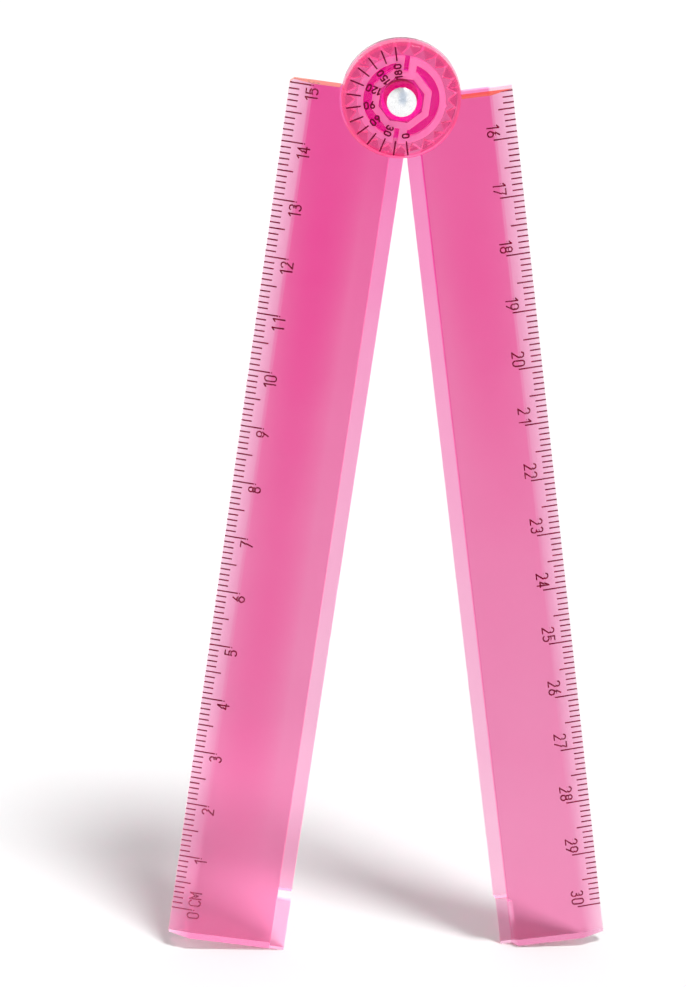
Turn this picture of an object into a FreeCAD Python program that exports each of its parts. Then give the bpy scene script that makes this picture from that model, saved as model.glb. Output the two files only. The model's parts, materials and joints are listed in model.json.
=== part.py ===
import FreeCAD, Part
import os
from math import atan2, cos, degrees, hypot, pi, radians, sin

from FreeCAD import Placement, Rotation, Vector

# Folding 30 cm ruler with a protractor hinge, standing on its two feet and opened to the 15 degree click.
#
# Every arm is drawn in its own hinge frame: the hinge axis is the Y axis, the arm points down (-Z),
# the front face of the arm lies at y = 0 and its back face at y = ARM_THICKNESS.
# "u" is the distance from the hinge axis towards the arm's scale edge, "d" the distance down the arm.
# The left arm's scale edge is on its left (side = -1), the right arm's on its right (side = +1).

# --- Driving dimensions, millimetres and degrees ---
OPENING = 15.0                  # angle between the arms at rest, the first click of the hinge
SCALE_AT_HINGE = 150.44         # scale reading that falls on the hinge axis
LAST_LEFT_MM = 150              # last graduation of the left arm
FIRST_RIGHT_MM = 152            # first graduation of the right arm
LAST_RIGHT_MM = 300             # last graduation of the right arm

ARM_THICKNESS = 3.2
SCALE_EDGE_U = 18.46            # the scale edge
BEVEL_WIDTH = 3.7
BEVEL_DEPTH = 2.0               # the bevel leaves a 1.2 mm thick scale edge
LEFT_FOOT_D = 154.8
RIGHT_FOOT_D = 154.6
LEFT_TOP_D = -0.4               # the left arm ends just past the hinge axis
RIGHT_TOP_D = 1.4               # front edge of the right arm's top end
RIGHT_TONGUE_D = 0.6            # the right arm's thin tongue reaches further up
TONGUE_STEP_DRAFT = 0.3         # lean of the step above the tongue
TOP_CORNER_CUT = 0.6

# Lap strips along the inner edges: half the arm's thickness, so that the closed arms interleave.
LAP_GAP = 0.1                   # gap between the two halves
LEFT_INNER_U = 0.45             # where the left arm's full thickness ends
LEFT_LAP_U = -2.0
RIGHT_INNER_U = 2.25
RIGHT_LAP_U = -0.2
RIGHT_LEDGE_U = 0.15
LEFT_NOTCH_TOP_D = 144.15
LEFT_NOTCH_FOOT_D = 145.45
RIGHT_STEP_TOP_D = 145.0
RIGHT_STEP_FOOT_D = 145.9
STRIP_END_RADIUS = 0.7
SEAT_CHAMFER = 0.85             # slope beside the right arm's ledge

# Hinge
RIGHT_LUG_RADIUS = 9.9
LEFT_LUG_RADIUS = 9.3
LUG_CLEARANCE = 0.25
HUB_RADIUS = 5.0
RUNNING_CLEARANCE = 0.05
POST_RADIUS = 3.9               # corner radius of the octagonal post
CAVITY_DEPTH = 1.6
FLOAT_GAP = 0.15                # gap in front of and behind the detent spring
RIVET_RADIUS = 1.5
TAIL_POCKET_RADIUS = 3.1
TAIL_POCKET_DEPTH = 0.9

# Protractor cover
COVER_HEIGHT = 2.4
COVER_FOOT_RADIUS = 9.85
COVER_SHOULDER_RADIUS = 9.75
COVER_SHOULDER_HEIGHT = 1.3
COVER_FACE_RADIUS = 9.2
COVER_BULGE_INSET = 0.13        # the rounded rim passes this far inside the shoulder radius
COVER_BULGE_DROP = 0.36         # and this far behind the face
COLLAR_RADIUS = 3.3
COLLAR_HEIGHT = 0.35
TOOTH_COUNT = 24
TOOTH_VALLEY_RADIUS = 9.1
TOOTH_TIP_RADIUS = 7.7
PEG_COUNT = 3
PEG_RADIUS = 0.5
PEG_LENGTH = 1.0
PEG_CIRCLE_RADIUS = 8.9
PEG_CLEARANCE = 0.02
PEG_HOLE_DEPTH = 1.1

# Detent spring
SPRING_HUB_RADIUS = 5.15         # corner radius of the octagonal ring
SPRING_BOW_INNER = 6.3
SPRING_BOW_OUTER = 7.3
SPRING_BOW_END_U = 0.45         # half of the slot between the two bows
SPRING_BRIDGE_WIDTH = 1.2
SPRING_TOOTH_TIP = 7.55
SPRING_TOOTH_HALF_WIDTH = 0.9

# Rivet and washer
HEAD_RADIUS = 2.45
HEAD_RIM = 0.3
HEAD_DOME = 0.75
TAIL_RADIUS = 2.2
TAIL_THICKNESS = 0.4
WASHER_RADIUS = 2.9
WASHER_THICKNESS = 0.35

# Printing
INK = 0.03                      # thickness of the ink: stamped flush into the arms, laid on the cover
TICK_WIDTH = 0.24
TICK_LENGTH_CM = 4.0
TICK_LENGTH_HALF = 3.0
TICK_LENGTH_MM = 2.0
DIGIT_HEIGHT = 1.9
DIGIT_STROKE = 0.22
DIGIT_ADVANCE = 1.5
DIGIT_FOOT_INSET = 5.0          # foot of the figures, from the scale edge
DIGIT_TICK_GAP = 0.45           # from the figure to the middle of its graduation
DIAL_TICK_INNER = 6.75
DIAL_TICK_OUTER = 9.15
DIAL_TICK_WIDTH = 0.26
DIAL_DIGIT_HEIGHT = 1.35
DIAL_DIGIT_STROKE = 0.27
DIAL_DIGIT_ADVANCE = 1.02
DIAL_DIGIT_OUTER = 6.3          # where every dial figure ends, from the hinge axis
DIAL_STEP = 15

# --- Derived dimensions ---
MID_Y = ARM_THICKNESS / 2
FRONT_HALF_BACK = MID_Y - LAP_GAP / 2
BACK_HALF_FRONT = MID_Y + LAP_GAP / 2
CREASE_U = SCALE_EDGE_U - BEVEL_WIDTH
COLLAR_FACE_Y = -COVER_HEIGHT - COLLAR_HEIGHT
HEAD_FRONT_Y = COLLAR_FACE_Y - HEAD_RIM - HEAD_DOME
TAIL_POCKET_FLOOR_Y = ARM_THICKNESS - TAIL_POCKET_DEPTH
WASHER_FRONT_Y = TAIL_POCKET_FLOOR_Y + RUNNING_CLEARANCE
WASHER_BACK_Y = WASHER_FRONT_Y + WASHER_THICKNESS
SPRING_BACK_Y = -FLOAT_GAP
SPRING_FRONT_Y = -CAVITY_DEPTH + FLOAT_GAP
MARGIN = 5.0                    # how far cutting shapes run past what they cut
SAME_PLACE = 0.01               # two edges whose middles are this close are the same edge
OCTAGON = 8


# --- Shape helpers; every one works in the hinge frame ---
def disc(radius, y_front, y_back, u=0.0, d=0.0):
    """A round plate about an axis along Y."""
    return Part.makeCylinder(radius, y_back - y_front, Vector(u, y_front, -d), Vector(0, 1, 0))


def plate(outline, y_front, y_back):
    """A flat plate with an outline of (x, z) points."""
    points = [Vector(x, y_front, z) for x, z in outline]
    face = Part.Face(Part.makePolygon(points + points[:1]))
    return face.extrude(Vector(0, y_back - y_front, 0))


def block(side, u_low, u_high, d_low, d_high, y_front, y_back):
    """A box on one arm, between two u and two d values."""
    x_low, x_high = sorted((side * u_low, side * u_high))
    corner = Vector(x_low, y_front, -d_high)
    return Part.makeBox(x_high - x_low, y_back - y_front, d_high - d_low, corner)


def regular_outline(radius, sides):
    """Corners of a regular polygon with one flat facing +X."""
    step = 2 * pi / sides
    return [(radius * cos(step * (i + 0.5)), radius * sin(step * (i + 0.5))) for i in range(sides)]


def star_outline(valley, tip, teeth):
    """Outline of a toothed cavity: valleys at whole tooth steps from +X, tips half a step on."""
    step = pi / teeth
    radii = [valley, tip] * teeth
    return [(r * cos(step * i), r * sin(step * i)) for i, r in enumerate(radii)]


def upright_bar(section, d_foot, height):
    """A bar with a level section of (x, y) points, standing on d_foot."""
    points = [Vector(x, y, -d_foot) for x, y in section]
    face = Part.Face(Part.makePolygon(points + points[:1]))
    return face.extrude(Vector(0, 0, height))


def bevelled_bar(side, inner_u, d_low, d_high):
    """The full thickness of an arm, with the bevel down to its scale edge."""
    section = [
        (side * inner_u, 0),
        (side * CREASE_U, 0),
        (side * SCALE_EDGE_U, BEVEL_DEPTH),
        (side * SCALE_EDGE_U, ARM_THICKNESS),
        (side * inner_u, ARM_THICKNESS),
    ]
    return upright_bar(section, d_high, d_high - d_low)


def scale_d(side, reading):
    """Distance down the arm of a scale reading in millimetres."""
    return side * (reading - SCALE_AT_HINGE)


# --- The moulded pieces ---
def make_left_arm(printing):
    side = -1
    arm = bevelled_bar(side, LEFT_INNER_U, LEFT_TOP_D, LEFT_FOOT_D)
    corner = [
        (side * (SCALE_EDGE_U - TOP_CORNER_CUT), -LEFT_TOP_D),
        (side * SCALE_EDGE_U, -LEFT_TOP_D - TOP_CORNER_CUT),
        (side * (SCALE_EDGE_U + MARGIN), -LEFT_TOP_D + MARGIN),
    ]
    arm = arm.cut(plate(corner, -MARGIN, ARM_THICKNESS + MARGIN))
    arm = arm.cut(disc(RIGHT_LUG_RADIUS + LUG_CLEARANCE, -MARGIN, BACK_HALF_FRONT))
    strip = block(side, LEFT_LAP_U, LEFT_INNER_U, 0, LEFT_NOTCH_TOP_D, BACK_HALF_FRONT, ARM_THICKNESS)
    foot = block(side, LEFT_LAP_U, LEFT_INNER_U, LEFT_NOTCH_FOOT_D, LEFT_FOOT_D, 0, FRONT_HALF_BACK)
    lug = disc(LEFT_LUG_RADIUS, BACK_HALF_FRONT, ARM_THICKNESS)
    hub = disc(HUB_RADIUS, 0, BACK_HALF_FRONT)
    post = plate(regular_outline(POST_RADIUS, OCTAGON), SPRING_FRONT_Y, 0)
    arm = arm.multiFuse([strip, foot, lug, hub, post])
    arm = arm.cut(disc(RIVET_RADIUS + RUNNING_CLEARANCE, -MARGIN, ARM_THICKNESS + MARGIN))
    arm = arm.cut(disc(TAIL_POCKET_RADIUS, TAIL_POCKET_FLOOR_Y, ARM_THICKNESS + MARGIN))
    return arm.removeSplitter().cut(printing)


def make_right_arm(printing):
    side = 1
    arm = bevelled_bar(side, RIGHT_INNER_U, RIGHT_TONGUE_D, RIGHT_FOOT_D)
    step_profile = [
        (-MARGIN, RIGHT_TOP_D),
        (0, RIGHT_TOP_D),
        (BEVEL_DEPTH, RIGHT_TOP_D - TONGUE_STEP_DRAFT),
        (BEVEL_DEPTH, -MARGIN),
        (-MARGIN, -MARGIN),
    ]
    points = [Vector(0, y, -d) for y, d in step_profile]
    step = Part.Face(Part.makePolygon(points + points[:1]))
    arm = arm.cut(step.extrude(Vector(SCALE_EDGE_U + MARGIN, 0, 0)))
    arm = arm.cut(disc(LEFT_LUG_RADIUS + LUG_CLEARANCE, FRONT_HALF_BACK, ARM_THICKNESS + MARGIN))

    strip = block(side, RIGHT_LAP_U, RIGHT_INNER_U, 0, RIGHT_STEP_TOP_D, 0, FRONT_HALF_BACK)
    strip_corner = Part.Edge(Part.LineSegment(
        Vector(RIGHT_LAP_U, 0, -RIGHT_STEP_TOP_D),
        Vector(RIGHT_LAP_U, FRONT_HALF_BACK, -RIGHT_STEP_TOP_D)))
    strip = strip.makeFillet(STRIP_END_RADIUS, edges_like(strip, strip_corner))
    ledge = block(side, RIGHT_LEDGE_U, RIGHT_INNER_U, RIGHT_STEP_FOOT_D, RIGHT_FOOT_D,
                  BACK_HALF_FRONT, ARM_THICKNESS)
    seat_section = [
        (RIGHT_INNER_U, -MARGIN),
        (RIGHT_INNER_U + SEAT_CHAMFER, -MARGIN),
        (RIGHT_INNER_U + SEAT_CHAMFER, 0),
        (RIGHT_INNER_U, FRONT_HALF_BACK),
    ]
    seat_height = RIGHT_FOOT_D + MARGIN - RIGHT_STEP_FOOT_D
    seat = upright_bar(seat_section, RIGHT_STEP_FOOT_D + seat_height, seat_height)

    lug = disc(RIGHT_LUG_RADIUS, 0, FRONT_HALF_BACK)
    arm = arm.multiFuse([strip, ledge, lug]).cut(seat)
    arm = arm.cut(disc(HUB_RADIUS + RUNNING_CLEARANCE, -MARGIN, ARM_THICKNESS + MARGIN))
    for peg_u, peg_d in peg_places():
        arm = arm.cut(disc(PEG_RADIUS + PEG_CLEARANCE, -MARGIN, PEG_HOLE_DEPTH, peg_u, peg_d))
    return arm.removeSplitter().cut(printing)


def edges_like(shape, wanted):
    """The edges of a shape that have the same middle point as the wanted edge."""
    middle = wanted.CenterOfMass
    return [edge for edge in shape.Edges if edge.CenterOfMass.distanceToPoint(middle) < SAME_PLACE]


def peg_places():
    """Places of the cover's locating pegs, each behind a tooth tip."""
    half_tooth = pi / TOOTH_COUNT
    angles = [half_tooth + 2 * pi * i / PEG_COUNT for i in range(PEG_COUNT)]
    return [(PEG_CIRCLE_RADIUS * cos(angle), -PEG_CIRCLE_RADIUS * sin(angle)) for angle in angles]


def make_cover():
    foot = Vector(COVER_FOOT_RADIUS, 0, 0)
    shoulder = Vector(COVER_SHOULDER_RADIUS, -COVER_SHOULDER_HEIGHT, 0)
    rim = Vector(COVER_FACE_RADIUS, -COVER_HEIGHT, 0)
    bulge = Vector(COVER_SHOULDER_RADIUS - COVER_BULGE_INSET, -COVER_HEIGHT + COVER_BULGE_DROP, 0)
    wire = Part.Wire([
        Part.makeLine(Vector(0, 0, 0), foot),
        Part.makeLine(foot, shoulder),
        Part.Arc(shoulder, bulge, rim).toShape(),
        Part.makeLine(rim, Vector(0, -COVER_HEIGHT, 0)),
        Part.makeLine(Vector(0, -COVER_HEIGHT, 0), Vector(0, 0, 0)),
    ])
    cover = Part.Face(wire).revolve(Vector(), Vector(0, 1, 0), 360)
    cavity = plate(star_outline(TOOTH_VALLEY_RADIUS, TOOTH_TIP_RADIUS, TOOTH_COUNT), -CAVITY_DEPTH, MARGIN)
    collar = disc(COLLAR_RADIUS, COLLAR_FACE_Y, -COVER_HEIGHT)
    pegs = [disc(PEG_RADIUS, 0, PEG_LENGTH, u, d) for u, d in peg_places()]
    cover = cover.cut(cavity).multiFuse([collar] + pegs)
    cover = cover.cut(disc(RIVET_RADIUS + PEG_CLEARANCE, -COVER_HEIGHT - MARGIN, MARGIN))
    return cover.removeSplitter()


def make_bow(side):
    """One bow of the detent spring: an arc, the bridges at its two ends and the tooth in its middle."""
    bow = disc(SPRING_BOW_OUTER, SPRING_FRONT_Y, SPRING_BACK_Y)
    bow = bow.cut(disc(SPRING_BOW_INNER, SPRING_FRONT_Y, SPRING_BACK_Y))
    bow = bow.common(block(side, SPRING_BOW_END_U, SPRING_BOW_OUTER, -SPRING_BOW_OUTER, SPRING_BOW_OUTER,
                           SPRING_FRONT_Y, SPRING_BACK_Y))
    root = (SPRING_BOW_INNER + SPRING_BOW_OUTER) / 2
    bridges = []
    for d_low, d_high in ((-root, -SPRING_HUB_RADIUS / 2), (SPRING_HUB_RADIUS / 2, root)):
        bridges.append(block(side, SPRING_BOW_END_U, SPRING_BOW_END_U + SPRING_BRIDGE_WIDTH, d_low, d_high,
                             SPRING_FRONT_Y, SPRING_BACK_Y))
    tooth = plate([(side * root, -side * SPRING_TOOTH_HALF_WIDTH),
                   (side * SPRING_TOOTH_TIP, 0),
                   (side * root, side * SPRING_TOOTH_HALF_WIDTH)], SPRING_FRONT_Y, SPRING_BACK_Y)
    return [bow, tooth] + bridges


def make_spring():
    """Octagonal ring with a bow spring on its left and another on its right."""
    ring = plate(regular_outline(SPRING_HUB_RADIUS, OCTAGON), SPRING_FRONT_Y, SPRING_BACK_Y)
    spring = ring.multiFuse(make_bow(-1) + make_bow(1))
    hole = plate(regular_outline(POST_RADIUS + RUNNING_CLEARANCE, OCTAGON), -MARGIN, MARGIN)
    return spring.cut(hole).removeSplitter()


# --- The metal pieces ---
def make_rivet():
    """Domed head, solid shank and the tail that is spread over the washer."""
    sphere_radius = (HEAD_RADIUS ** 2 + HEAD_DOME ** 2) / (2 * HEAD_DOME)
    rim_front = COLLAR_FACE_Y - HEAD_RIM
    sphere = Part.makeSphere(sphere_radius, Vector(0, HEAD_FRONT_Y + sphere_radius, 0))
    dome = sphere.common(disc(HEAD_RADIUS, HEAD_FRONT_Y - MARGIN, rim_front))
    rim = disc(HEAD_RADIUS, rim_front, COLLAR_FACE_Y)
    shank = disc(RIVET_RADIUS, COLLAR_FACE_Y, WASHER_BACK_Y)
    tail = disc(TAIL_RADIUS, WASHER_BACK_Y, WASHER_BACK_Y + TAIL_THICKNESS)
    rivet = dome.multiFuse([rim, shank, tail]).removeSplitter()
    tail_rim = [edge for edge in rivet.Edges
                if edge.BoundBox.YMin > WASHER_BACK_Y + TAIL_THICKNESS / 2
                and edge.BoundBox.XLength > TAIL_RADIUS]
    return rivet.makeChamfer(TAIL_THICKNESS / 2, tail_rim)


def make_washer():
    washer = disc(WASHER_RADIUS, WASHER_FRONT_Y, WASHER_BACK_Y)
    return washer.cut(disc(RIVET_RADIUS + PEG_CLEARANCE, -MARGIN, ARM_THICKNESS + MARGIN))


# --- Printing: a plain round-ended stroke alphabet, one unit high ---
# A stroke is ("line", x0, y0, x1, y1) or ("arc", centre x, centre y, radius, start and end angle).
GLYPH_WIDTH = 0.56
RIGHT_X = GLYPH_WIDTH
HALF = GLYPH_WIDTH / 2
UPPER_R = 0.24
LOWER_R = 0.28
UPPER_Y = 1 - UPPER_R
GLYPHS = {
    "0": [("arc", HALF, 1 - HALF, HALF, 0, 180), ("arc", HALF, HALF, HALF, 180, 360),
          ("line", 0, HALF, 0, 1 - HALF), ("line", RIGHT_X, HALF, RIGHT_X, 1 - HALF)],
    "1": [("line", HALF + 0.06, 0, HALF + 0.06, 1), ("line", HALF - 0.18, 0.78, HALF + 0.06, 1)],
    "2": [("arc", HALF, 1 - 0.27, 0.27, -25, 165), ("line", 0.525, 0.616, 0, 0),
          ("line", 0, 0, RIGHT_X, 0)],
    "3": [("arc", HALF, UPPER_Y, UPPER_R, -90, 155), ("arc", HALF, LOWER_R, LOWER_R, -155, 75)],
    "4": [("line", 0.4, 0, 0.4, 1), ("line", 0.4, 1, 0, 0.3), ("line", 0, 0.3, RIGHT_X, 0.3)],
    "5": [("line", 0.5, 1, 0.07, 1), ("line", 0.07, 1, 0.04, 0.52),
          ("arc", HALF - 0.02, 0.3, 0.3, -140, 130)],
    "6": [("arc", HALF, LOWER_R, LOWER_R, 0, 360), ("line", 0.04, 0.42, 0.4, 1)],
    "7": [("line", 0, 1, RIGHT_X, 1), ("line", RIGHT_X, 1, 0.14, 0)],
    "8": [("arc", HALF, UPPER_Y, UPPER_R, 0, 360), ("arc", HALF, LOWER_R, LOWER_R, 0, 360)],
    "9": [("arc", HALF, 1 - LOWER_R, LOWER_R, 0, 360), ("line", 0.52, 0.58, 0.16, 0)],
    "C": [("arc", HALF + 0.02, 1 - 0.3, 0.3, 20, 180), ("arc", HALF + 0.02, 0.3, 0.3, 180, 340),
          ("line", 0, 0.3, 0, 0.7)],
    "M": [("line", 0, 0, 0, 1), ("line", 0, 1, 0.34, 0.35), ("line", 0.34, 0.35, 0.68, 1),
          ("line", 0.68, 1, 0.68, 0)],
}


def stroke_line(x0, y0, x1, y1, width):
    """A straight stroke, drawn in the local XY plane, as thick as the ink along Z."""
    length = hypot(x1 - x0, y1 - y0)
    bar = Part.makeBox(length, width, INK, Vector(0, -width / 2, 0))
    bar.Placement = Placement(Vector(x0, y0, 0), Rotation(Vector(0, 0, 1), degrees(atan2(y1 - y0, x1 - x0))))
    ends = [Part.makeCylinder(width / 2, INK, Vector(x, y, 0)) for x, y in ((x0, y0), (x1, y1))]
    return [bar] + ends


def stroke_arc(x, y, radius, start, end, width):
    """A round stroke from one angle to another, in degrees."""
    up = Vector(0, 0, 1)
    outer = Part.makeCylinder(radius + width / 2, INK, Vector(), up, end - start)
    ring = outer.cut(Part.makeCylinder(radius - width / 2, INK, Vector(), up))
    ring.Placement = Placement(Vector(x, y, 0), Rotation(up, start))
    if end - start >= 360:
        return [ring]
    tips = [(x + radius * cos(radians(angle)), y + radius * sin(radians(angle))) for angle in (start, end)]
    return [ring] + [Part.makeCylinder(width / 2, INK, Vector(tip_x, tip_y, 0)) for tip_x, tip_y in tips]


def make_glyph(character, height, stroke):
    """One figure with its lower left corner at the local origin."""
    size = height - stroke
    solids = []
    for kind, *numbers in GLYPHS[character]:
        if kind == "line":
            x0, y0, x1, y1 = [number * size + stroke / 2 for number in numbers]
            solids += stroke_line(x0, y0, x1, y1, stroke)
        else:
            x, y, radius, start, end = numbers
            solids += stroke_arc(x * size + stroke / 2, y * size + stroke / 2, radius * size,
                                 start, end, stroke)
    return solids[0].multiFuse(solids[1:]).removeSplitter()


def place_text(text, glyphs, advance, end_point, right, up):
    """Copies of the figures, the last one's right side at end_point, with their tops along up."""
    turn = Rotation(right, up, right.cross(up), "XYZ")
    placed = []
    for index, character in enumerate(reversed(text)):
        glyph = glyphs[character].copy()
        start = end_point - right * (index * advance + glyph.BoundBox.XMax)
        glyph.Placement = Placement(start, turn)
        placed.append(glyph)
    return placed


def make_arm_ticks(side, first, last):
    """The graduations stamped into the back face of one arm, from its scale edge inwards."""
    ticks = []
    for reading in range(first, last + 1):
        if reading % 10 == 0:
            length = TICK_LENGTH_CM
        elif reading % 5 == 0:
            length = TICK_LENGTH_HALF
        else:
            length = TICK_LENGTH_MM
        d = scale_d(side, reading)
        ticks.append(block(side, SCALE_EDGE_U - length, SCALE_EDGE_U, d - TICK_WIDTH / 2, d + TICK_WIDTH / 2,
                           ARM_THICKNESS - INK, ARM_THICKNESS))
    return Part.makeCompound(ticks)


def make_arm_figures(side, first_cm, last_cm):
    """The centimetre figures stamped into one arm's back, on the smaller side of their graduations."""
    glyphs = {character: make_glyph(character, DIGIT_HEIGHT, DIGIT_STROKE) for character in GLYPHS}
    up = Vector(side, 0, 0)
    right = Vector(0, 0, -side)
    foot_x = side * (SCALE_EDGE_U - DIGIT_FOOT_INSET)
    placed = []
    for centimetre in range(first_cm, last_cm + 1):
        end_z = -scale_d(side, centimetre * 10) - right.z * DIGIT_TICK_GAP
        placed += place_text(str(centimetre), glyphs, DIGIT_ADVANCE,
                             Vector(foot_x, ARM_THICKNESS, end_z), right, up)
    if first_cm == 0:
        unit_end_z = -scale_d(side, 0) + right.z * (DIGIT_TICK_GAP + 2 * DIGIT_ADVANCE)
        placed += place_text("CM", glyphs, DIGIT_ADVANCE,
                             Vector(foot_x, ARM_THICKNESS, unit_end_z), right, up)
    return Part.makeCompound(placed)


def make_dial_ticks():
    """The protractor's graduations, every click of the hinge from 0 (down) to 180 (up), over the left."""
    ticks = []
    for angle in range(0, 180 + DIAL_STEP, DIAL_STEP):
        tick = Part.makeBox(DIAL_TICK_WIDTH, INK, DIAL_TICK_OUTER - DIAL_TICK_INNER,
                            Vector(-DIAL_TICK_WIDTH / 2, -COVER_HEIGHT - INK, -DIAL_TICK_OUTER))
        tick.rotate(Vector(), Vector(0, 1, 0), angle)
        ticks.append(tick)
    return Part.makeCompound(ticks)


def make_dial_figures():
    """The protractor's figures, every second graduation, reading outwards from the hinge axis."""
    glyphs = {character: make_glyph(character, DIAL_DIGIT_HEIGHT, DIAL_DIGIT_STROKE) for character in GLYPHS}
    placed = []
    for angle in range(0, 180 + DIAL_STEP, 2 * DIAL_STEP):
        right = Vector(-sin(radians(angle)), 0, -cos(radians(angle)))
        up = Vector(-right.z, 0, right.x)
        end_point = right * DIAL_DIGIT_OUTER - up * (DIAL_DIGIT_HEIGHT / 2) - Vector(0, COVER_HEIGHT, 0)
        placed += place_text(str(angle), glyphs, DIAL_DIGIT_ADVANCE, end_point, right, up)
    return Part.makeCompound(placed)


# --- Standing the ruler on its feet ---
def arm_corner(side, u, d):
    """Where a foot's inner corner is when both arms lean out by half the opening."""
    half = radians(OPENING / 2)
    return side * (sin(half) * d + cos(half) * u), -cos(half) * d + sin(half) * u


def standing_lean():
    """How far the whole ruler turns about its hinge so that both feet touch the table, in degrees."""
    left_x, left_z = arm_corner(-1, LEFT_LAP_U, LEFT_FOOT_D)
    right_x, right_z = arm_corner(1, RIGHT_LEDGE_U, RIGHT_FOOT_D)
    return degrees(atan2(right_z - left_z, right_x - left_x))


def stand(shapes):
    """Turn each arm's pieces to its own angle and put the bottom centre of the whole at the origin."""
    lean = standing_lean()
    axis = Vector(0, 1, 0)
    standing = {}
    for node, (side, shape) in shapes.items():
        turned = shape.copy()
        turned.rotate(Vector(), axis, -side * OPENING / 2 + lean)
        standing[node] = turned
    box = FreeCAD.BoundBox()
    for shape in standing.values():
        box.add(shape.optimalBoundingBox(False, False))
    shift = Vector(-(box.XMin + box.XMax) / 2, -(box.YMin + box.YMax) / 2, -box.ZMin)
    for shape in standing.values():
        shape.translate(shift)
    return standing, shift, box


LEFT = -1
RIGHT = 1
LEFT_TICKS = make_arm_ticks(LEFT, 0, LAST_LEFT_MM)
LEFT_FIGURES = make_arm_figures(LEFT, 0, LAST_LEFT_MM // 10)
RIGHT_TICKS = make_arm_ticks(RIGHT, FIRST_RIGHT_MM, LAST_RIGHT_MM)
RIGHT_FIGURES = make_arm_figures(RIGHT, LAST_LEFT_MM // 10 + 1, LAST_RIGHT_MM // 10)
PIECES = {
    "left_arm": (LEFT, make_left_arm([LEFT_TICKS, LEFT_FIGURES])),
    "right_arm": (RIGHT, make_right_arm([RIGHT_TICKS, RIGHT_FIGURES])),
    "protractor_cover": (RIGHT, make_cover()),
    "detent_spring": (LEFT, make_spring()),
    "rivet": (RIGHT, make_rivet()),
    "rivet_washer": (RIGHT, make_washer()),
    "left_scale_graduations": (LEFT, LEFT_TICKS),
    "left_scale_figures": (LEFT, LEFT_FIGURES),
    "right_scale_graduations": (RIGHT, RIGHT_TICKS),
    "right_scale_figures": (RIGHT, RIGHT_FIGURES),
    "protractor_graduations": (RIGHT, make_dial_ticks()),
    "protractor_figures": (RIGHT, make_dial_figures()),
}

os.makedirs("parts", exist_ok=True)
standing_pieces, hinge_place, whole_box = stand(PIECES)
for node_name, node_shape in standing_pieces.items():
    node_shape.exportStep("parts/" + node_name + ".step")
    print(node_name, node_shape.isValid(), len(node_shape.Solids), round(node_shape.Volume, 3))
print("hinge axis at", hinge_place, "lean", standing_lean())
print("size", whole_box.XLength, whole_box.YLength, whole_box.ZLength)
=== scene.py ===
import json
from math import cos, radians, sin

import bpy
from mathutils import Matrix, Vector


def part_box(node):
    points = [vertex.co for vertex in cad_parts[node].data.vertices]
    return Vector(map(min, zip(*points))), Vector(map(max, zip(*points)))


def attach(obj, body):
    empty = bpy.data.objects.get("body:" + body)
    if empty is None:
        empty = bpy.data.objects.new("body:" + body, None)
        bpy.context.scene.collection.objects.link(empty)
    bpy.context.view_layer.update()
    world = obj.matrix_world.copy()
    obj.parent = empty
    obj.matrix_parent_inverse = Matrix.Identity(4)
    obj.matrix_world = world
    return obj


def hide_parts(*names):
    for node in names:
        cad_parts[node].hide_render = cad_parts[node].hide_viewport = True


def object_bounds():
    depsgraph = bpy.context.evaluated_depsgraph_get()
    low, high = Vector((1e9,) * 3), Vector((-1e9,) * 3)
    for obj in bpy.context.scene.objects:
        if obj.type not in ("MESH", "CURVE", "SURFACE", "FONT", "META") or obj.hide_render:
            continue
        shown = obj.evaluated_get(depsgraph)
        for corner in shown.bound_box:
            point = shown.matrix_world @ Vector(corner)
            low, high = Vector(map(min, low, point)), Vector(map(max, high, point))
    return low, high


# Folding ruler in translucent pink plastic, standing on its two feet on a white table.

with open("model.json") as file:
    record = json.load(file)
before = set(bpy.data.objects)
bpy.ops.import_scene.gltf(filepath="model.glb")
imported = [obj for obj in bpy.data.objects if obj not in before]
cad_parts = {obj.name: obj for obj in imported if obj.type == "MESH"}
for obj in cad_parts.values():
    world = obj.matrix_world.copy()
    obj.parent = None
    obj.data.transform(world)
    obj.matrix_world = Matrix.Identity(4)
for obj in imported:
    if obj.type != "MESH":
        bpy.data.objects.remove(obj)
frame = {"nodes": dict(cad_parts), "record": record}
CAD_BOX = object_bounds()

MM = 0.001

# --- The ruler's own measures: the hinge is read from the record, the rest repeat the part's dimensions ---
JOINT = frame["record"]["behaviour"]["joints"][0]
HINGE = Vector(JOINT["pos_m"])
ARM_LEAN = {"left_arm": 8.21, "right_arm": -6.79}       # degrees out of plumb
SIDE = {"left_arm": -1, "right_arm": 1}
CREASE = 14.76 * MM             # from the hinge axis to where the bevel begins
FOOT = {"left_arm": 154.8 * MM, "right_arm": 154.6 * MM}        # from the hinge axis to the cut foot
ROOT_LINE = 2.25 * MM           # from the hinge axis to where the right arm's inner strip begins
RECESS_RADIUS = 10.15 * MM      # the round recess in the left arm that the lug turns in
FRONT_FACE_Y = HINGE.y          # the arms' front face

# --- Where the plastic's look changes: each pair goes from not at all to fully ---
CLEAR_OF_BEVEL = (CREASE + 0.1 * MM, CREASE - 0.3 * MM)
# width of the painted shade line along the step where the right arm's inner strip begins
ROOT_STEP_SHADE_WIDTH = (0.22 * MM, 0.08 * MM)
ARM_TOP = (2.2 * MM, 2.0 * MM)  # down from the hinge axis
BELOW_TONGUE = (0.9 * MM, 1.0 * MM)
FOOT_FACE = (0.05 * MM, 0.02 * MM)      # up from the foot
HUB = (6.95 * MM, 6.65 * MM)    # this and the next six are radii about the hinge
CLEAR_OF_TOOTH_RING = (9.2 * MM, 9.9 * MM)
CLEAR_OF_LUG = (9.92 * MM, 9.98 * MM)
CLEAR_OF_RECESS = (RECESS_RADIUS + 0.1 * MM, RECESS_RADIUS + 0.3 * MM)
TEETH_BEGIN = (7.4 * MM, 7.6 * MM)
COVER_WALL = (9.1 * MM, 9.5 * MM)
COVER_RIM = (9.15 * MM, 9.35 * MM)
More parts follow.
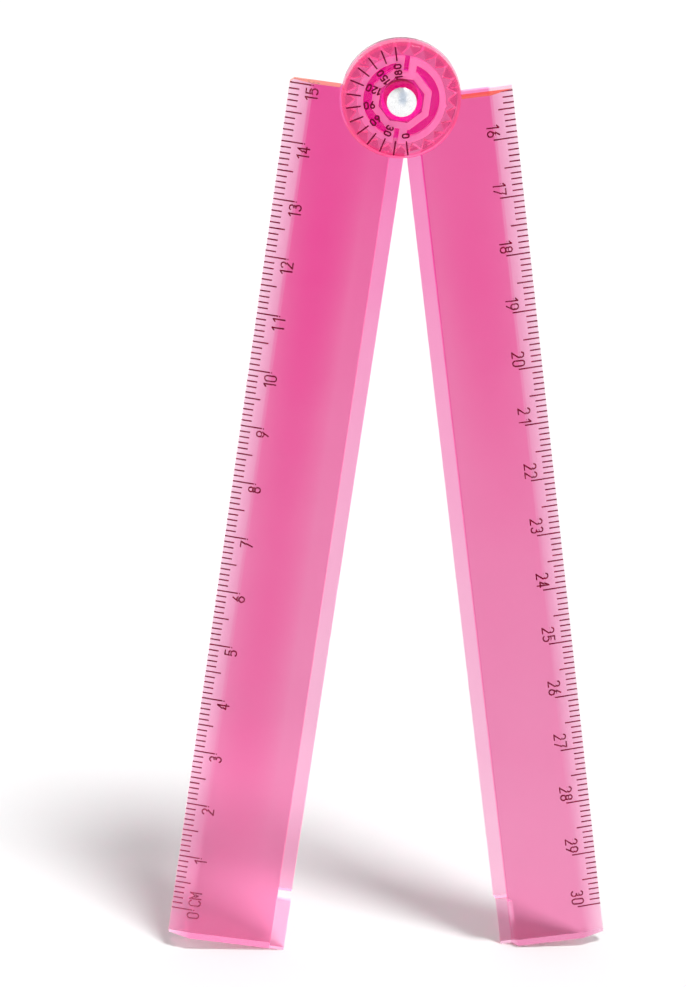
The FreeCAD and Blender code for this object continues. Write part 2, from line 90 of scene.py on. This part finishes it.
COLLAR = (3.38 * MM, 3.28 * MM)
RECESS_TOLERANCE = 0.04 * MM
RECESS_SHOWS_AWAY_FROM = (0.6, 0, 0.8)  # the recess shows under the cover on its lower left
RECESS_SHOWS = (-4 * MM, -9 * MM)
WALL_SLANT = (0.35, 0.15)       # share of a face's normal that points to the front or back

# --- Dye ---
PLASTIC_IOR = 1.25
ABSORPTION_PER_METRE = (65.0, 392.0, 226.0)     # red, green and blue taken out of the light
CLEAR = (1.0, 1.0, 1.0)
DYE = (0.95, 0.0, 0.49)         # what a full dose of the dye lets through
HUB_TINT = (0.98, 0.01, 0.72)   # the lug under the hub, where the dye runs deepest
# painted glow: the top end is tinted orange for the light the fluorescent plastic pipes to it
TOP_END_GLOW_TINT = (0.62, 0.02, 0.004)
TOOTH_RING_DYE = 0.3            # dose under the ring of detent teeth
# painted shade: a darker line along the step where the right arm's inner strip begins
ROOT_STEP_SHADE_DOSE = 0.3
COVER_WALL_DYE = 0.35
# the dye deepens from the foot to the hinge, and a soft band along the arm fades in above the foot
DYE_AT_FOOT = {"left_arm": 0.12, "right_arm": 0.0}
DYE_AT_TOP = {"left_arm": 0.80, "right_arm": 0.65}
DYE_CURVE = {"left_arm": 2.2, "right_arm": 1.2}         # the higher, the later it deepens
BAND_DOSE = {"left_arm": 0.28, "right_arm": 0.16}
BAND_MIDDLE = 9.5 * MM          # across from the hinge axis
BAND_HALF_WIDTH = 6.0 * MM
BAND_START = {"left_arm": 0.05, "right_arm": 0.45}      # shares of the height
BAND_END = 0.95
BAND_FADE = 0.20

# --- Painted glow of the fluorescent plastic where it is cut or moulded edge-on, and of the collar, cover walls and spring ---
TOP_END_GLOW = 0.22
TOP_END_GLOW_COLOUR = (1.0, 0.22, 0.10)
CUT_FACE_GLOW = 0.50
CUT_FACE_GLOW_COLOUR = (1.0, 0.16, 0.32)
# painted glow near the foot, lifting the plastic where the shadow on the table behind would dim it
FOOT_GLOW = {"left_arm": 0.16, "right_arm": 0.03}       # soft, near the foot, lit by the table
FOOT_GLOW_HEIGHT = 45 * MM
FOOT_GLOW_COLOUR = (1.0, 0.35, 0.62)
# painted glow in the collar, where the washer behind blocks the light
COLLAR_GLOW = 0.25
COLLAR_GLOW_COLOUR = (0.85, 0.0, 0.30)
COVER_WALL_GLOW = 0.30
COVER_WALL_GLOW_COLOUR = (1.0, 0.16, 0.28)
COVER_RIM_SHARE = 0.6           # of the walls' glow, in the rounded rim
SPRING_GLOW = 0.32
SPRING_GLOW_COLOUR = (1.0, 0.17, 0.57)

# --- Other colours, from dark to light ---
SPRING_PINK = ((0.95, 0.36, 0.58), (1.0, 0.46, 0.68))
STAMPED_INK = ((0.26, 0.012, 0.06), (0.38, 0.035, 0.11))
PRINTED_INK = ((0.11, 0.001, 0.018), (0.17, 0.003, 0.03))
NICKEL = (0.97, 0.97, 0.98)
STEEL = (0.62, 0.62, 0.63)
TABLE_WHITE = ((0.86, 0.86, 0.86), (0.88, 0.88, 0.88))

# --- Surface detail: the scales are in waves per metre ---
DYE_CLOUDS = 70.0
DYE_CLOUD_DEPTH = 0.12
COVER_CLOUDS = 120.0
COVER_CLOUD_DEPTH = 0.10
WORN_PATCHES = 420.0
PLASTIC_ROUGHNESS = 0.22
FLOW_MARKS = 140.0
FLOW_MARK_STRETCH = (1.0, 1.0, 0.25)
FLOW_MARK_STRENGTH = 0.12
FLOW_MARK_DEPTH = 0.05 * MM
SPRING_CLOUDS = 500.0
SPRING_GRAIN = 1500.0
INK_SPECKLE = 9000.0
INK_GRAIN = 5000.0
METAL_SMUDGES = 900.0
METAL_GRAIN_DEPTH = 0.01 * MM
TABLE_CLOUDS = 40.0

# --- Painted reflection on the rivet's head: a blue-grey patch on the upper dome, as of the grey room it mirrors ---
PAINTED_REFLECTION = (0.55, 0.61, 0.70)
PAINTED_REFLECTION_PLACE = HINGE + Vector((0.15, 0, 0.9)) * MM
PAINTED_REFLECTION_HALF_WIDTH = 1.0 * MM
PAINTED_REFLECTION_HALF_HEIGHT = 1.7 * MM
PAINTED_REFLECTION_MOTTLE = 1600.0
PAINTED_REFLECTION_REACH = (1.45, 0.55)      # from the outside in

# --- Pieces ---
STAMPED_NODES = ("left_scale_graduations", "left_scale_figures",
                 "right_scale_graduations", "right_scale_figures")
PRINTED_NODES = ("protractor_graduations", "protractor_figures")
INK_REACH = 0.02 * MM           # how far the stamped ink is pressed into the plastic
FIGURE_SPREAD = 0.03 * MM       # how far the ink of the figures has spread beyond the die
COVER_LIFT = 0.03 * MM          # a hair of air between the cover's foot and the lug it sits on

# --- Table, in metres ---
TABLE_RADIUS = 3.0
TABLE_MIDDLE = 0.5
WALL_BEND = 0.45
WALL_HEIGHT = 0.65
BEND_STEPS = 8
TABLE_SIDES = 64
WALL_GLOW = 0.35
WALL_GLOW_HEIGHT = 0.4          # where the wall's glow is full

# --- Camera ---
CAMERA_PLACE = Vector((-22.85, -648.93, 301.66)) * MM
CAMERA_PITCH = 18.456
CAMERA_YAW = -1.338
CAMERA_LENS = 146.86
CAMERA_SENSOR = 36.0
CAMERA_CLIP = 0.01

# --- Light ---
STUDIO_WHITE = (1.0, 1.0, 1.0)
CEILING_GREY = (0.10, 0.11, 0.11)
WHITE_BELOW = 0.45              # sine of the elevation up to which the studio wall is white
CEILING_ABOVE = 0.90            # and from which the ceiling is grey
WORLD_STRENGTH = 1.0
SUN_SIZE = 14.0
SUN_STRENGTH = 2.40
SUN_DIRECTION = Vector((-0.60, 0.76, -1.9))
CLEAR_BOUNCES = 24              # for light to get through all the layers of plastic
GLOSSY_BOUNCES = 12


# --- Node helpers ---
def add(tree, kind, **values):
    """A new shader node."""
    node = tree.nodes.new("ShaderNode" + kind)
    for key, value in values.items():
        setattr(node, key, value)
    return node


def new_material(name):
    """An empty node material and its tree."""
    material = bpy.data.materials.new(name)
    material.use_nodes = True
    material.node_tree.nodes.clear()
    return material, material.node_tree


def show(tree, shader):
    """Make the shader the material's surface, and return the output node."""
    out = add(tree, "OutputMaterial")
    tree.links.new(shader.outputs[0], out.inputs["Surface"])
    return out


def number(tree, operation, first, second, clamp=False):
    """A Math node; either side may be a socket or a number."""
    node = add(tree, "Math", operation=operation, use_clamp=clamp)
    for socket, value in zip(node.inputs, (first, second)):
        if isinstance(value, (int, float)):
            socket.default_value = value
        else:
            tree.links.new(value, socket)
    return node.outputs[0]


def ramp(tree, factor, low, high):
    """A Map Range from low..high to 0..1."""
    node = add(tree, "MapRange")
    tree.links.new(factor, node.inputs["Value"])
    node.inputs["From Min"].default_value = low
    node.inputs["From Max"].default_value = high
    return node.outputs["Result"]


def mix_colour(tree, factor, first, second):
    """A colour mix of two plain colours or sockets."""
    node = add(tree, "Mix", data_type="RGBA")
    tree.links.new(factor, node.inputs["Factor"])
    for socket, value in zip((node.inputs[6], node.inputs[7]), (first, second)):
        if isinstance(value, tuple):
            socket.default_value = (*value, 1)
        else:
            tree.links.new(value, socket)
    return node.outputs[2]


def noise(tree, scale, detail=2.0, stretch=None):
    """Noise over the piece's own place, in waves per metre."""
    place = add(tree, "TexCoord").outputs["Object"]
    if stretch:
        mapping = add(tree, "Mapping")
        mapping.inputs["Scale"].default_value = stretch
        tree.links.new(place, mapping.inputs["Vector"])
        place = mapping.outputs["Vector"]
    texture = add(tree, "TexNoise")
    texture.inputs["Scale"].default_value = scale
    texture.inputs["Detail"].default_value = detail
    tree.links.new(place, texture.inputs["Vector"])
    return texture.outputs["Fac"]


def along_line(tree, direction, start):
    """How far the point being shaded is from start along a direction, in metres, at the rest pose."""
    offset = add(tree, "VectorMath", operation="SUBTRACT")
    tree.links.new(add(tree, "TexCoord").outputs["Object"], offset.inputs[0])
    offset.inputs[1].default_value = start
    dot = add(tree, "VectorMath", operation="DOT_PRODUCT")
    tree.links.new(offset.outputs[0], dot.inputs[0])
    dot.inputs[1].default_value = direction
    return dot.outputs["Value"]


def roughen(tree, shader, height, strength, depth):
    """A bump on the shader's surface."""
    bump = add(tree, "Bump")
    bump.inputs["Strength"].default_value = strength
    bump.inputs["Distance"].default_value = depth
    tree.links.new(height, bump.inputs["Height"])
    tree.links.new(bump.outputs["Normal"], shader.inputs["Normal"])


# --- Materials ---
def hinge_radius(tree):
    """Distance of the point being shaded from the hinge axis."""
    across = along_line(tree, (1, 0, 0), HINGE)
    up = along_line(tree, (0, 0, 1), HINGE)
    squares = number(tree, "ADD", number(tree, "MULTIPLY", across, across),
                     number(tree, "MULTIPLY", up, up))
    return number(tree, "SQRT", squares, 0.0)


def across_arm(tree, arm):
    """Distance of the point being shaded from the hinge axis, across the arm towards its scale edge."""
    lean = radians(ARM_LEAN[arm])
    return along_line(tree, (SIDE[arm] * cos(lean), 0, -SIDE[arm] * sin(lean)), HINGE)


def down_arm(tree, arm):
    """Distance of the point being shaded from the hinge axis, along the arm towards its foot."""
    lean = radians(ARM_LEAN[arm])
    return along_line(tree, (-sin(lean), 0, -cos(lean)), HINGE)


def arm_dye(tree, arm):
    """Dose of dye over one arm: deeper towards the hinge and along a soft band, none in the bevel; on the
    right arm, painted shade as a darker line along the step where the inner strip begins.
    """
    across = across_arm(tree, arm)
    share = ramp(tree, along_line(tree, (0, 0, 1), CAD_BOX[0]), 0, CAD_BOX[1].z - CAD_BOX[0].z)
    rise = number(tree, "MULTIPLY", number(tree, "POWER", share, DYE_CURVE[arm]),
                  DYE_AT_TOP[arm] - DYE_AT_FOOT[arm])
    everywhere = number(tree, "ADD", rise, DYE_AT_FOOT[arm])
    fade_in = ramp(tree, share, BAND_START[arm], BAND_START[arm] + BAND_FADE)
    fade_out = ramp(tree, share, BAND_END, BAND_END - BAND_FADE)
    in_band = number(tree, "MULTIPLY", number(tree, "MULTIPLY", fade_in, fade_out), BAND_DOSE[arm])
    from_middle = number(tree, "DIVIDE", number(tree, "SUBTRACT", across, BAND_MIDDLE),
                         BAND_HALF_WIDTH)
    bell = number(tree, "SUBTRACT", 1.0, number(tree, "MULTIPLY", from_middle, from_middle),
                  clamp=True)
    dose = number(tree, "ADD", everywhere, number(tree, "MULTIPLY", in_band, bell))
    cloud = number(tree, "SUBTRACT", noise(tree, DYE_CLOUDS), 0.5)
    cloud = number(tree, "MULTIPLY", cloud, DYE_CLOUD_DEPTH)
    dose = number(tree, "ADD", dose, cloud, clamp=True)
    body = ramp(tree, across, *CLEAR_OF_BEVEL)
    dose = number(tree, "MULTIPLY", dose, body)
    # painted shade along the step where the inner strip begins
    if arm == "right_arm":
        from_root = number(tree, "ABSOLUTE", number(tree, "SUBTRACT", across, ROOT_LINE), 0.0)
        line = ramp(tree, from_root, *ROOT_STEP_SHADE_WIDTH)
        dose = number(tree, "ADD", dose, number(tree, "MULTIPLY", line, ROOT_STEP_SHADE_DOSE))
    radius = hinge_radius(tree)
    outside = ramp(tree, radius, *CLEAR_OF_TOOTH_RING)
    return number(tree, "MAXIMUM", number(tree, "MULTIPLY", dose, outside),
                  number(tree, "MULTIPLY", number(tree, "SUBTRACT", 1.0, outside), TOOTH_RING_DYE))


def wall_mask(tree):
    """One on the faces that stand across the ruler's thickness, none on its front and back."""
    normal = add(tree, "SeparateXYZ")
    tree.links.new(add(tree, "TexCoord").outputs["Normal"], normal.inputs[0])
    return ramp(tree, number(tree, "ABSOLUTE", normal.outputs["Y"], 0.0), *WALL_SLANT)


def top_end(tree, arm):
    """One on the arm's cut top end, and on the part of the left arm's recess that shows under the cover:
    where the orange glow is painted.
    """
    down = down_arm(tree, arm)
    radius = hinge_radius(tree)
    clear_of_lug = ramp(tree, radius, *CLEAR_OF_LUG)
    top = ramp(tree, down, *ARM_TOP)
    if arm == "left_arm":
        recess = number(tree, "COMPARE", radius, RECESS_RADIUS)
        recess.node.inputs[2].default_value = RECESS_TOLERANCE
        low = ramp(tree, along_line(tree, RECESS_SHOWS_AWAY_FROM, HINGE), *RECESS_SHOWS)
        bright = number(tree, "MAXIMUM", number(tree, "MULTIPLY", top, clear_of_lug),
                        number(tree, "MULTIPLY", recess, low))
    else:
        below_tongue = ramp(tree, down, *BELOW_TONGUE)
        bright = number(tree, "MULTIPLY", number(tree, "MULTIPLY", top, clear_of_lug), below_tongue)
    return number(tree, "MULTIPLY", bright, wall_mask(tree))


def foot_end(tree, arm):
    """One on the arm's cut foot."""
    down = down_arm(tree, arm)
    at_foot = ramp(tree, down, *[FOOT[arm] - height for height in FOOT_FACE])
    return number(tree, "MULTIPLY", at_foot, wall_mask(tree))


def arm_glow(tree, arm, bright):
    """Painted glow: orange at the top end, pink on the other cut faces but the foot, and a soft pink above
    the foot.
    """
    foot = foot_end(tree, arm)
    clear_of_hinge = ramp(tree, hinge_radius(tree), *CLEAR_OF_RECESS)
    cut = number(tree, "MULTIPLY", wall_mask(tree), clear_of_hinge)
    cut = number(tree, "SUBTRACT", cut, foot, clamp=True)
    near_foot = ramp(tree, down_arm(tree, arm), FOOT[arm] - FOOT_GLOW_HEIGHT, FOOT[arm])
    above_foot = number(tree, "SUBTRACT", near_foot, foot, clamp=True)
    strength = number(tree, "MAXIMUM", number(tree, "MULTIPLY", cut, CUT_FACE_GLOW),
                      number(tree, "MULTIPLY", above_foot, FOOT_GLOW[arm]))
    elsewhere = number(tree, "SUBTRACT", 1.0, bright)
    strength = number(tree, "ADD", number(tree, "MULTIPLY", strength, elsewhere),
                      number(tree, "MULTIPLY", bright, TOP_END_GLOW))
    colour = mix_colour(tree, cut, FOOT_GLOW_COLOUR, CUT_FACE_GLOW_COLOUR)
    return mix_colour(tree, bright, colour, TOP_END_GLOW_COLOUR), strength


def cover_glow(tree):
    """Painted glow: magenta in the collar round the rivet, pink in the walls of the detent teeth and the
    rim.
    """
    radius = hinge_radius(tree)
    collar = ramp(tree, radius, *COLLAR)
    outside = number(tree, "MULTIPLY", ramp(tree, radius, *TEETH_BEGIN), wall_mask(tree))
    rim = ramp(tree, radius, *COVER_RIM)
    outside = number(tree, "MAXIMUM", outside, number(tree, "MULTIPLY", rim, COVER_RIM_SHARE))
    strength = number(tree, "MAXIMUM", number(tree, "MULTIPLY", collar, COLLAR_GLOW),
                      number(tree, "MULTIPLY", outside, COVER_WALL_GLOW))
    return mix_colour(tree, collar, COVER_WALL_GLOW_COLOUR, COLLAR_GLOW_COLOUR), strength


def pink_plastic(name, arm=None):
    """Translucent fluorescent plastic, dyed and glowing as one arm is, or without an arm as the cover is."""
    material, tree = new_material(name)
    shader = add(tree, "BsdfPrincipled")
    shader.inputs["IOR"].default_value = PLASTIC_IOR
    shader.inputs["Transmission Weight"].default_value = 1.0
    radius = hinge_radius(tree)
    if arm:
        hub = ramp(tree, radius, *HUB)
        tint = mix_colour(tree, arm_dye(tree, arm), CLEAR, DYE)
        tint = mix_colour(tree, hub, tint, HUB_TINT)
        # painted glow: orange tint and emission on the cut top end
        bright = top_end(tree, arm)
        tint = mix_colour(tree, bright, tint, TOP_END_GLOW_TINT)
    else:
        wall = ramp(tree, radius, *COVER_WALL)
        dose = number(tree, "MULTIPLY_ADD", noise(tree, COVER_CLOUDS), COVER_CLOUD_DEPTH)
        tree.links.new(number(tree, "MULTIPLY", wall, COVER_WALL_DYE), dose.node.inputs[2])
        tint = mix_colour(tree, dose, CLEAR, DYE)
    tree.links.new(tint, shader.inputs["Base Color"])

    # moulded surface: nearly a mirror, with faint flow marks and a few worn patches
    rough = ramp(tree, noise(tree, WORN_PATCHES, 4.0), 0.2, 2.6)
    tree.links.new(number(tree, "MULTIPLY", rough, PLASTIC_ROUGHNESS), shader.inputs["Roughness"])
    waves = noise(tree, FLOW_MARKS, 1.0, FLOW_MARK_STRETCH)
    roughen(tree, shader, waves, FLOW_MARK_STRENGTH, FLOW_MARK_DEPTH)

    glow = arm_glow(tree, arm, bright) if arm else cover_glow(tree)
    for colour_or_strength, socket in zip(glow, ("Emission Color", "Emission Strength")):
        tree.links.new(colour_or_strength, shader.inputs[socket])

    volume = add(tree, "VolumeAbsorption")
    most = max(ABSORPTION_PER_METRE)
    volume.inputs["Color"].default_value = (*[1 - taken / most for taken in ABSORPTION_PER_METRE], 1)
    volume.inputs["Density"].default_value = most
    tree.links.new(volume.outputs[0], show(tree, shader).inputs["Volume"])
    return material


def spring_plastic():
    """The detent spring is moulded in a milkier pink that hides what is behind it, with a painted glow for
    the light the cover keeps from it.
    """
    material, tree = new_material("spring_plastic")
    shader = add(tree, "BsdfPrincipled")
    cloud = ramp(tree, noise(tree, SPRING_CLOUDS, 3.0), 0.2, 0.8)
    tree.links.new(mix_colour(tree, cloud, *SPRING_PINK), shader.inputs["Base Color"])
    tree.links.new(ramp(tree, noise(tree, SPRING_GRAIN), -0.4, 2.0), shader.inputs["Roughness"])
    # painted glow: lifts the spring, which the cover shades
    shader.inputs["Emission Color"].default_value = (*SPRING_GLOW_COLOUR, 1)
    shader.inputs["Emission Strength"].default_value = SPRING_GLOW
    show(tree, shader)
    return material


def ink(name, dark, light):
    """Matt ink, speckled where it has taken unevenly."""
    material, tree = new_material(name)
    shader = add(tree, "BsdfPrincipled")
    speckle = ramp(tree, noise(tree, INK_SPECKLE, 3.0), 0.3, 0.75)
    tree.links.new(mix_colour(tree, speckle, dark, light), shader.inputs["Base Color"])
    rough = ramp(tree, noise(tree, INK_GRAIN), -0.6, 1.2)
    tree.links.new(rough, shader.inputs["Roughness"])
    shader.inputs["Specular IOR Level"].default_value = 0.05
    show(tree, shader)
    return material


def metal(name, colour, roughness, grain_scale, grain_strength, with_painted_reflection=False):
    """Metal with a turned or rolled grain, and a painted blue-grey reflection on the upper half if asked
    for.
    """
    material, tree = new_material(name)
    shader = add(tree, "BsdfPrincipled")
    shader.inputs["Metallic"].default_value = 1.0
    smudge = ramp(tree, noise(tree, METAL_SMUDGES, 4.0), 0.25, 0.8)
    darker = tuple(channel * 0.9 for channel in colour)
    plain = mix_colour(tree, smudge, darker, colour)
    # painted reflection: a mottled blue-grey patch on the upper half, standing in for what the dome mirrors
    if with_painted_reflection:
        across = along_line(tree, (1 / PAINTED_REFLECTION_HALF_WIDTH, 0, 0), PAINTED_REFLECTION_PLACE)
        up = along_line(tree, (0, 0, 1 / PAINTED_REFLECTION_HALF_HEIGHT), PAINTED_REFLECTION_PLACE)
        reach = number(tree, "ADD", number(tree, "MULTIPLY", across, across),
                       number(tree, "MULTIPLY", up, up))
        mottled = number(tree, "ADD", reach, noise(tree, PAINTED_REFLECTION_MOTTLE, 3.0))
        plain = mix_colour(tree, ramp(tree, mottled, *PAINTED_REFLECTION_REACH), plain, PAINTED_REFLECTION)
    tree.links.new(plain, shader.inputs["Base Color"])
    grain = noise(tree, grain_scale, 3.0)
    rough = number(tree, "MULTIPLY_ADD", grain, roughness)
    rough.node.inputs[2].default_value = roughness / 2
    tree.links.new(rough, shader.inputs["Roughness"])
    roughen(tree, shader, grain, grain_strength, METAL_GRAIN_DEPTH)
    show(tree, shader)
    return material


def white_table():
    """Matt white; the wall round the table glows a little, so that it looks as white as the table."""
    material, tree = new_material("white_table")
    shader = add(tree, "BsdfPrincipled")
    tree.links.new(mix_colour(tree, noise(tree, TABLE_CLOUDS), *TABLE_WHITE), shader.inputs["Base Color"])
    shader.inputs["Roughness"].default_value = 0.9
    shader.inputs["Specular IOR Level"].default_value = 0.1
    rise = ramp(tree, along_line(tree, (0, 0, 1), (0, 0, 0)), 0.0, WALL_GLOW_HEIGHT)
    tree.links.new(number(tree, "MULTIPLY", rise, WALL_GLOW), shader.inputs["Emission Strength"])
    shader.inputs["Emission Color"].default_value = (*STUDIO_WHITE, 1)
    show(tree, shader)
    return material


# --- The pieces in place ---
def body_of(node):
    """The body that a CAD node rides on."""
    bodies = frame["record"]["behaviour"]["bodies"]
    return next(body for body, nodes in bodies.items() if node in nodes)


def stand_in(node, name, material):
    """A piece of its own with the CAD node's shape, riding where the node rides."""
    piece = bpy.data.objects.new(name, frame["nodes"][node].data.copy())
    bpy.context.scene.collection.objects.link(piece)
    dress(piece, material)
    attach(piece, body_of(node))
    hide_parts(node)
    return piece


def lift_cover(material):
    """The cover, with its foot just clear of the right arm's lug."""
    piece = stand_in("protractor_cover", "clear_cover", material)
    for vertex in piece.data.vertices:
        if abs(vertex.co.y - FRONT_FACE_Y) < COVER_LIFT:
            vertex.co.y = FRONT_FACE_Y - COVER_LIFT
    return piece


def dress(piece, material):
    """The material, as the piece's only one."""
    piece.data.materials.clear()
    piece.data.materials.append(material)


def press_ink_in(node, material, spread):
    """The stamped ink as a piece of its own: it reaches into the plastic, and its strokes spread."""
    piece = stand_in(node, node + "_ink", material)
    low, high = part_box(node)
    middle = (low.y + high.y) / 2
    outward = [Vector((normal.vector.x, 0, normal.vector.z)) for normal in piece.data.vertex_normals]
    for vertex, direction in zip(piece.data.vertices, outward):
        if direction.length > 0:
            vertex.co += direction.normalized() * spread
        if vertex.co.y < middle:
            vertex.co.y -= INK_REACH
    return piece


# --- Stage ---
def add_mesh(name, points, faces):
    """A mesh object in the scene."""
    mesh = bpy.data.meshes.new(name)
    mesh.from_pydata(points, [], faces)
    piece = bpy.data.objects.new(name, mesh)
    bpy.context.scene.collection.objects.link(piece)
    return piece


def build_stage():
    """A white table that curves up all round into a wall, low enough for the light to pass over it."""
    profile = [(TABLE_MIDDLE, 0.0)]
    for index in range(BEND_STEPS + 1):
        angle = radians(90 * index / BEND_STEPS)
        reach = TABLE_RADIUS - WALL_BEND + WALL_BEND * sin(angle)
        profile.append((reach, WALL_BEND - WALL_BEND * cos(angle)))
    profile.append((TABLE_RADIUS, WALL_HEIGHT))
    points = [(0.0, 0.0, 0.0)]
    for turn in range(TABLE_SIDES):
        angle = radians(360 * turn / TABLE_SIDES)
        points += [(reach * cos(angle), reach * sin(angle), height) for reach, height in profile]
    count = len(profile)
    faces = []
    for turn in range(TABLE_SIDES):
        here = 1 + turn * count
        there = 1 + (turn + 1) % TABLE_SIDES * count
        faces.append((0, here, there))
        faces += [(here + i, here + i + 1, there + i + 1, there + i) for i in range(count - 1)]
    floor = add_mesh("floor", points, faces)
    for polygon in floor.data.polygons:
        polygon.use_smooth = True
    dress(floor, white_table())


def build_light():
    """White studio walls under a grey ceiling, and a soft window light from the right."""
    world = bpy.data.worlds.new("studio")
    world.use_nodes = True
    tree = world.node_tree
    background = tree.nodes["Background"]
    height = add(tree, "SeparateXYZ")
    tree.links.new(add(tree, "TexCoord").outputs["Generated"], height.inputs[0])
    ceiling = ramp(tree, height.outputs["Z"], WHITE_BELOW, CEILING_ABOVE)
    ceiling.node.interpolation_type = "SMOOTHSTEP"
    tree.links.new(mix_colour(tree, ceiling, STUDIO_WHITE, CEILING_GREY), background.inputs["Color"])
    background.inputs["Strength"].default_value = WORLD_STRENGTH
    bpy.context.scene.world = world

    light = bpy.data.lights.new("window", "SUN")
    light.angle = radians(SUN_SIZE)
    light.energy = SUN_STRENGTH
    holder = bpy.data.objects.new("window", light)
    holder.rotation_euler = SUN_DIRECTION.to_track_quat("-Z", "Y").to_euler()
    bpy.context.scene.collection.objects.link(holder)


def build_camera():
    """A long lens in front of the ruler and a little above it."""
    data = bpy.data.cameras.new("camera")
    data.sensor_fit = "VERTICAL"
    data.sensor_height = CAMERA_SENSOR
    data.lens = CAMERA_LENS
    data.clip_start = CAMERA_CLIP
    camera = bpy.data.objects.new("camera", data)
    camera.location = CAMERA_PLACE
    camera.rotation_euler = (radians(90 - CAMERA_PITCH), 0, radians(CAMERA_YAW))
    bpy.context.scene.collection.objects.link(camera)
    bpy.context.scene.camera = camera


build_camera()
build_stage()
build_light()
stamped_ink = ink("stamped_ink", *STAMPED_INK)
printed_ink = ink("printed_ink", *PRINTED_INK)
for arm in ("left_arm", "right_arm"):
    dress(frame["nodes"][arm], pink_plastic(arm + "_plastic", arm))
dress(frame["nodes"]["detent_spring"], spring_plastic())
lift_cover(pink_plastic("cover_plastic"))
for name in PRINTED_NODES:
    dress(frame["nodes"][name], printed_ink)
for name in STAMPED_NODES:
    press_ink_in(name, stamped_ink, FIGURE_SPREAD if "figures" in name else 0.0)
# the rivet's head carries the painted blue-grey reflection
dress(frame["nodes"]["rivet"], metal("rivet_metal", NICKEL, 0.27, 1500.0, 0.05, with_painted_reflection=True))
dress(frame["nodes"]["rivet_washer"], metal("washer_steel", STEEL, 0.35, 4000.0, 0.2))

scene = bpy.context.scene
scene.view_settings.view_transform = "Standard"
scene.cycles.max_bounces = CLEAR_BOUNCES
scene.cycles.transmission_bounces = CLEAR_BOUNCES
scene.cycles.glossy_bounces = GLOSSY_BOUNCES
